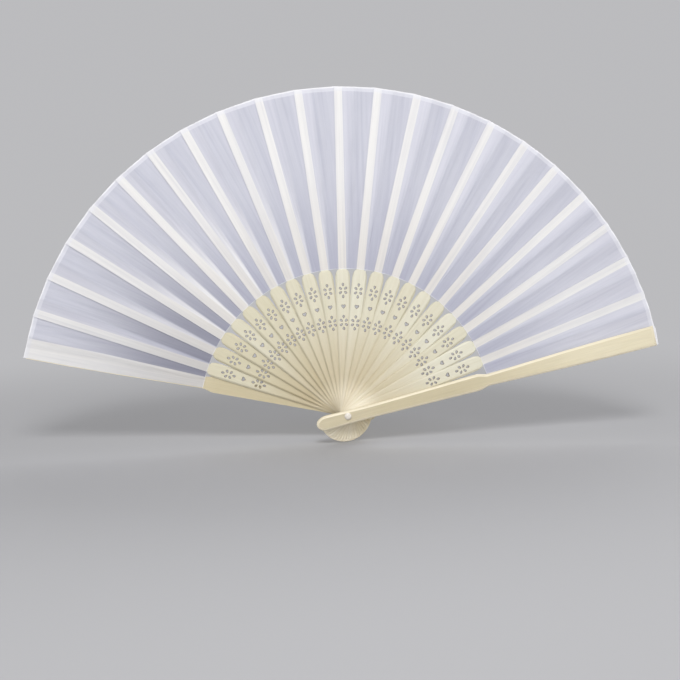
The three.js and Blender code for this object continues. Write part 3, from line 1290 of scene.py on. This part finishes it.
    def row_radius(self, row: int) -> float:
        """Gives a row's distance from the rivet, with close rows at the hem.

        Args:
            row: The row's number.

        Returns:
            The distance in millimetres.
        """
        body_rows = self.rows - self.hem_rows
        if row <= body_rows:
            return self.inner + (self.outer - self.hem - self.inner) * row / body_rows
        return self.outer - self.hem * (1 - (row - body_rows) / self.hem_rows)

    def ripple(self, layer: int, share: float, radius: float) -> float:
        """Gives how far the free cloth stands off its flat panel.

        Args:
            layer: The pleat's layer.
            share: The place along the line between the valleys.
            radius: The distance from the rivet.

        Returns:
            The height in millimetres.
        """
        place = (min(share, 1 - share), radius, layer)
        broad, fine = [
            noise.noise(Vector([at * step for at, step in zip(place, steps)]))
            for steps in (self.broad_ripple, self.fine_ripple)
        ]
        return self.wave * (broad + self.fine_share * fine)

    def fan_angle(self, co: Vector) -> float:
        """Gives a point's angle from its layer's valley fold, seen from the rivet."""
        return math.atan2(co.x, co.z) + math.asin(self.valley / math.hypot(co.x, co.z))

    def turn_share(self, co: Vector) -> float:
        """Gives the share of the next body's turn that a point takes, from the mountain fold on."""
        return min(1.0, max(0.0, 2 * self.fan_angle(co) / PITCH - 1))

    def leaf_radius(self, co: Vector) -> float:
        """Gives the radius of the straight line between the valleys that a point lies on."""
        along = (co.x + self.valley) * math.tan(PITCH / 2) + co.z
        return math.hypot(along, self.valley)

    def weave_place(self, co: Vector, layer: int) -> Point:
        """Gives a point's place on the flat cloth.

        Args:
            co: The point, in its layer's frame.
            layer: The pleat's layer.

        Returns:
            The place across and along, in metres.
        """
        radius = self.leaf_radius(co)
        tangent = Matrix.Rotation(-PITCH / 2, 2) @ Vector((1, 0))
        across = (Vector((co.x, co.z)) - self.chord_point(radius, 0.0)).dot(tangent)
        return across * MM + layer * PLEAT_SPACING, radius * MM

    def glue_place(self, co: Vector, layer: int) -> Point:
        """Gives how far inside the glued strip a point lies.

        Args:
            co: The point, in its layer's frame.
            layer: The pleat's layer.

        Returns:
            The distance in metres, below 0 on free cloth, and the share between the valleys.
        """
        radius = self.leaf_radius(co)
        share = self.chord_share(radius, co.x)
        if layer == FRONT_LAYER:
            return MM, share
        right = self.guard_edges(radius)[1] if layer == 0 else RIB_HALF_WIDTH
        left = -20.0 if layer == 0 else -RIB_HALF_WIDTH
        return min(right - co.x, co.x - left) * MM, share

    def join(self, piece: bpy.types.Object, layer: int) -> None:
        """Sets the front pleat on its body, and bakes each other pleat's place into its mesh.

        Args:
            piece: The pleat.
            layer: Its layer.
        """
        node = f"leaf_pleat_{layer:02d}"
        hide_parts(node)
        if layer == FRONT_LAYER:
            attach(piece, body_name(layer))
        else:
            middle = (self.inner + self.outer) / 2
            place = layer_place(layer)
            ends = [self.chord_point(middle, share) for share in (0.5, 1.0)]
            start, end = [place @ Vector((p.x, 0, p.y)) for p in ends]
            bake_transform(piece)
            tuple(start)
            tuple(end)
        radii = [self.row_radius(row) for row in range(self.rows + 1)]
        widths = [self.flat_width(layer, radius) for radius in radii]
        strips = zip(zip(radii, radii[1:]), zip(widths, widths[1:]))
        area = sum((far - near) * (narrow + wide) / 2 for (near, far), (narrow, wide) in strips)

    def flat_width(self, layer: int, radius: float) -> float:
        """Gives the cloth's width before it was folded.

        Args:
            layer: The pleat's layer.
            radius: The distance from the rivet.

        Returns:
            The width in millimetres.
        """
        lines = self.lines(layer, radius)
        points = [(*self.chord_point(radius, share), depth) for share, depth in lines]
        spans = [math.dist(a, b) for a, b in zip(points, points[1:])]
        return sum(spans) + self.lip(layer)


@dataclass(frozen=True)
class Rivet:
    """The rivet: a pin with a rear head, a washer behind and a domed cap in front."""

    cap_finish: PlasticFinish
    washer_finish: PlasticFinish
    pin_finish: SteelFinish
    pin_radius: float = 1.0
    pin_chamfer: float = 0.1
    cap_radius: float = 2.1
    cap_height: float = 1.4
    cap_wall: float = 0.25
    cap_chamfer: float = 0.08
    socket_depth: float = 1.0
    washer_radius: float = 2.7
    washer_thickness: float = 0.5
    washer_round: float = 0.12
    head_height: float = 1.0
    seat_gap: float = 0.1

    def build(self) -> None:
        """Builds the rivet's three pieces."""
        front = rear_face(FRONT_LAYER) - GUARD_THICKNESS - self.seat_gap
        rear = rear_face(0) - STICK_THICKNESS + GUARD_THICKNESS + self.seat_gap
        cap, washer = self.cap_profile(front), self.washer_profile(rear)
        pin = self.pin_profile(front, rear)
        self.turn("rivet_cap_dome", "rivet_cap", cap, self.cap_finish, Slot.CAP)
        self.turn("rivet_washer_ring", "rivet_washer", washer, self.washer_finish, Slot.WASHER)
        self.turn("rivet_pin_shank", "rivet_pin", pin, self.pin_finish, Slot.STEEL)
        LOG.info("rivet: cap, washer and pin")

    def dome(self, radius: float, height: float, base: float, steps: int = 9) -> list[Point]:
        """Gives a quarter of an ellipse, from the rim to the pole.

        Args:
            radius: The dome's radius.
            height: Its height, along Y.
            base: The Y of its rim.
            steps: Edges in the quarter.

        Returns:
            Radii and Ys.
        """
        angles = [math.pi / 2 * step / steps for step in range(steps)]
        arc = [(radius * math.cos(angle), base + height * math.sin(angle)) for angle in angles]
        return arc + [(0.0, base + height)]

    def cap_profile(self, seat: float) -> list[Point]:
        """Gives the cap's outline: a dome with a short wall and a socket for the pin.

        Args:
            seat: The Y of its seat.

        Returns:
            Radii and Ys.
        """
        rim, soft, floor = self.cap_radius, self.cap_chamfer, seat - self.socket_depth
        outer = self.dome(rim, self.cap_wall - self.cap_height, seat - self.cap_wall)
        wall = [(rim, seat - soft), (rim - soft, seat), (BORE_RADIUS, seat)]
        return outer[::-1] + wall + [(BORE_RADIUS, floor), (0.0, floor)]

    def washer_profile(self, seat: float) -> list[Point]:
        """Gives the washer's outline, its outer rim rounded.

        Args:
            seat: The Y of its front.

        Returns:
            Radii and Ys, closed.
        """
        rim, high = self.washer_radius, seat + self.washer_thickness
        soft, bulge = self.washer_round, self.washer_round * 0.3
        return [
            (BORE_RADIUS, seat), (rim - soft, seat), (rim - bulge, seat + bulge), (rim, seat + soft),
            (rim, high - soft), (rim - bulge, high - bulge), (rim - soft, high), (BORE_RADIUS, high),
            (BORE_RADIUS, seat),
        ]

    def pin_profile(self, front: float, rear: float) -> list[Point]:
        """Gives the pin's outline, with a domed head behind.

        Args:
            front: The Y of the cap's seat.
            rear: The Y of the washer's seat.

        Returns:
            Radii and Ys.
        """
        end = front - self.socket_depth + self.seat_gap
        head = rear + self.washer_thickness + self.seat_gap
        radius, soft = self.pin_radius, self.pin_chamfer
        shank = [(0.0, end), (radius - soft, end), (radius, end + soft), (radius, head)]
        return shank + self.dome(self.cap_radius, self.head_height, head)

    def turn(
        self, name: str, node: str, profile: list[Point],
        finish: PlasticFinish | SteelFinish, slot: Slot,
    ) -> None:
        """Turns a profile about the rivet's axis and sets the piece on the middle stick.

        Args:
            name: The piece's name.
            node: The CAD node that it stands for.
            profile: Radii and Ys in millimetres.
            finish: Its finish.
            slot: Its material slot; not used.
        """
        work = Workpiece()
        verts = [work.bm.verts.new((radius, y, 0)) for radius, y in profile]
        edges = [work.bm.edges.new(pair) for pair in zip(verts, verts[1:])]
        bmesh.ops.spin(
            work.bm, geom=verts + edges, cent=(0, 0, 0), axis=(0, 1, 0), dvec=(0, 0, 0),
            angle=math.tau, steps=48, use_merge=True,
        )
        bmesh.ops.remove_doubles(work.bm, verts=work.bm.verts[:], dist=0.001)
        bmesh.ops.recalc_face_normals(work.bm, faces=work.bm.faces[:])
        piece = work.finish(name, Matrix.Scale(MM, 4), finish.build())
        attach(piece, body_name(MIDDLE_LAYER))
        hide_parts(node)


@dataclass(frozen=True)
class Lamp:
    """One soft square lamp."""

    name: str
    place: Place
    size: float
    power: float

    def build(self, target: Vector) -> None:
        """Hangs the lamp and points it.

        Args:
            target: Where it looks.
        """
        data = bpy.data.lights.new(self.name, "AREA")
        data.shape = "SQUARE"
        data.size = self.size
        data.energy = self.power
        lamp = bpy.data.objects.new(self.name, data)
        lamp.location = self.place
        lamp.rotation_euler = (target - Vector(self.place)).to_track_quat("-Z", "Y").to_euler()
        bpy.context.scene.collection.objects.link(lamp)


@dataclass(frozen=True)
class Studio:
    """The camera, the pale floor and the soft light.

    Lengths are in metres, but the floor's radius, a mesh in the making, is in millimetres.
    """

    azimuth: float = math.radians(-5.396)
    elevation: float = math.radians(5.762)
    roll: float = math.radians(-1.469)
    distance: float = 0.71227
    target: Place = (-0.00254, 0.0, 0.04419)
    focal_pixels: float = 1199.0
    image_pixels: float = 680.0
    sensor: float = 36.0
    background: Colour = (0.5, 0.5, 0.515)
    floor_albedo: Colour = (0.44, 0.44, 0.455)
    fade: Point = (0.16, 0.6)
    world_strength: float = 0.35
    lit_middle: Place = (0.0, 0.0, 0.08)
    floor_radius: float = 2600.0
    floor_drop: float = 0.0003
    lamps: tuple[Lamp, ...] = (
        Lamp("key_lamp", (-0.05, -0.85, 0.75), 0.34, 6.7),
        Lamp("fill_lamp", (0.0, -1.2, 0.12), 0.9, 5.6),
        Lamp("left_lamp", (-1.2, -0.7, 0.0), 0.9, 4.2),
        Lamp("right_lamp", (1.3, -0.5, 0.4), 0.9, 2.3),
        Lamp("rear_lamp", (0.4, 1.2, 0.9), 1.2, 11.0),
    )

    def build_camera(self) -> None:
        """Sets the camera as the photograph was taken."""
        a, e = self.azimuth, self.elevation
        back = Vector((math.sin(a) * math.cos(e), -math.cos(a) * math.cos(e), math.sin(e)))
        right = (-back).cross(Vector((0, 0, 1))).normalized()
        up = right.cross(-back)
        cos, sin = math.cos(self.roll), math.sin(self.roll)
        turned = Matrix((right * cos + up * sin, up * cos - right * sin, back)).transposed()
        data = bpy.data.cameras.new("camera")
        data.sensor_width = self.sensor
        data.lens = self.focal_pixels / self.image_pixels * self.sensor
        camera = bpy.data.objects.new("camera", data)
        bpy.context.scene.collection.objects.link(camera)
        place = Matrix.Translation(Vector(self.target) + back * self.distance)
        camera.matrix_world = place @ turned.to_4x4()
        bpy.context.scene.camera = camera

    def build_floor(self, level: float) -> None:
        """Lays the floor, which fades to the background's colour away from the fan.

        Args:
            level: The fan's lowest Z.
        """
        work = Workpiece()
        bmesh.ops.create_circle(work.bm, cap_ends=True, segments=96, radius=self.floor_radius)
        g = Graph(bpy.data.materials.new("studio_floor"))
        where = g.add("ShaderNodeTexCoord", {}, output="Object")
        distance = g.add("ShaderNodeVectorMath", {0: where}, output="Value", operation="LENGTH")
        seen = g.add("ShaderNodeLightPath", {}, output="Is Camera Ray")
        far = g.product(g.remap(distance, *self.fade), seen)
        glow = g.add("ShaderNodeEmission", {"Color": (*self.background, 1.0), "Strength": 1.0})
        g.surface(Base_Color=(*self.floor_albedo, 1.0), Roughness=0.9, Specular_IOR_Level=0.1)
        g.show(g.add("ShaderNodeMixShader", {0: far, 1: g.shader.outputs[0], 2: glow}))
        place = Matrix.Translation((0, 0, level - self.floor_drop)) @ Matrix.Scale(MM, 4)
        work.finish("studio_floor", place, g.owner)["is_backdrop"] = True

    def build_light(self) -> None:
        """Sets the world and the lamps."""
        world = bpy.data.worlds.new("studio_world")
        bpy.context.scene.world = world
        g = Graph(world)
        g.surface(Color=(1.0, 1.0, 1.0, 1.0), Strength=self.world_strength)
        wall = g.add("ShaderNodeBackground", {"Color": (*self.background, 1.0)})
        seen = [g.add("ShaderNodeLightPath", {}, f"Is {ray} Ray") for ray in ("Camera", "Transmission")]
        either = g.math("MAXIMUM", *seen)
        g.show(g.add("ShaderNodeMixShader", {0: either, 1: g.shader.outputs[0], 2: wall}))
        for lamp in self.lamps:
            lamp.build(Vector(self.lit_middle))
        bpy.context.scene.view_settings.view_transform = "Standard"


def main() -> None:
    """Builds the fan's sub-assemblies in order."""
    logging.basicConfig(level=logging.INFO, format="%(message)s")
    cad_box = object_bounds()
    studio = Studio()
    studio.build_camera()
    studio.build_light()
    studio.build_floor(cad_box[0].z)
    stick_bamboo = BambooFinish(
        name="stick_bamboo", pivot_highlight=(0.86, 0.79, 0.64), near=(0.63, 0.56, 0.41), far=(0.72, 0.695, 0.575),
        near_end=0.02, far_start=0.07, warm=(0.87, 0.83, 0.73), warm_share=1.0, bevel=(0.8, 0.76, 0.64),
        hole_shade=(0.12, 0.08, 0.045), fibre_contrast=0.06, roughness=0.46, crown=1.0,
    )
    guard_bamboo = BambooFinish(
        name="guard_bamboo", pivot_highlight=(0.6, 0.53, 0.37), near=(0.58, 0.51, 0.345), far=(0.76, 0.69, 0.51),
        near_end=0.06, far_start=0.16, warm=(0.98, 0.96, 0.92), warm_share=0.5, bevel=(0.8, 0.72, 0.55),
        hole_shade=(0.2, 0.14, 0.075), fibre_contrast=0.09, roughness=0.4, crown=0.0,
    )
    silk = SilkFinish(
        name="leaf_silk", lit=(0.7, 0.7, 0.77), lit_inner=(0.6, 0.6, 0.68), free=(0.62, 0.625, 0.7),
        free_inner=(0.49, 0.495, 0.59), glued=(0.93, 0.918, 0.905), glued_inner=(0.86, 0.83, 0.79),
        hem=(0.84, 0.84, 0.89), edge=(0.95, 0.95, 0.97), glow=(0.95, 0.94, 0.95), dusk=(0.55, 0.55, 0.58),
        glued_dusk=(0.82, 0.82, 0.83), inner_end=0.0867, hem_start=0.19, edge_start=0.1919, cover=0.72,
    )
    Sticks(finish=stick_bamboo).build()
    profile = GuardProfile()
    Guard(finish=guard_bamboo, facing=Facing.REAR, profile=profile).build()
    Guard(finish=guard_bamboo, facing=Facing.FRONT, profile=profile).build()
    Leaf(finish=silk, guard=profile).build()
    Rivet(
        cap_finish=PlasticFinish("cap_plastic", (0.75, 0.7, 0.63), (0.67, 0.62, 0.55), 0.2),
        washer_finish=PlasticFinish("washer_plastic", (0.8, 0.79, 0.76), (0.72, 0.7, 0.66), 0.32),
        pin_finish=SteelFinish("rivet_steel", (0.68, 0.68, 0.7), (0.5, 0.5, 0.52)),
    ).build()


if __name__ == "__main__":
    main()
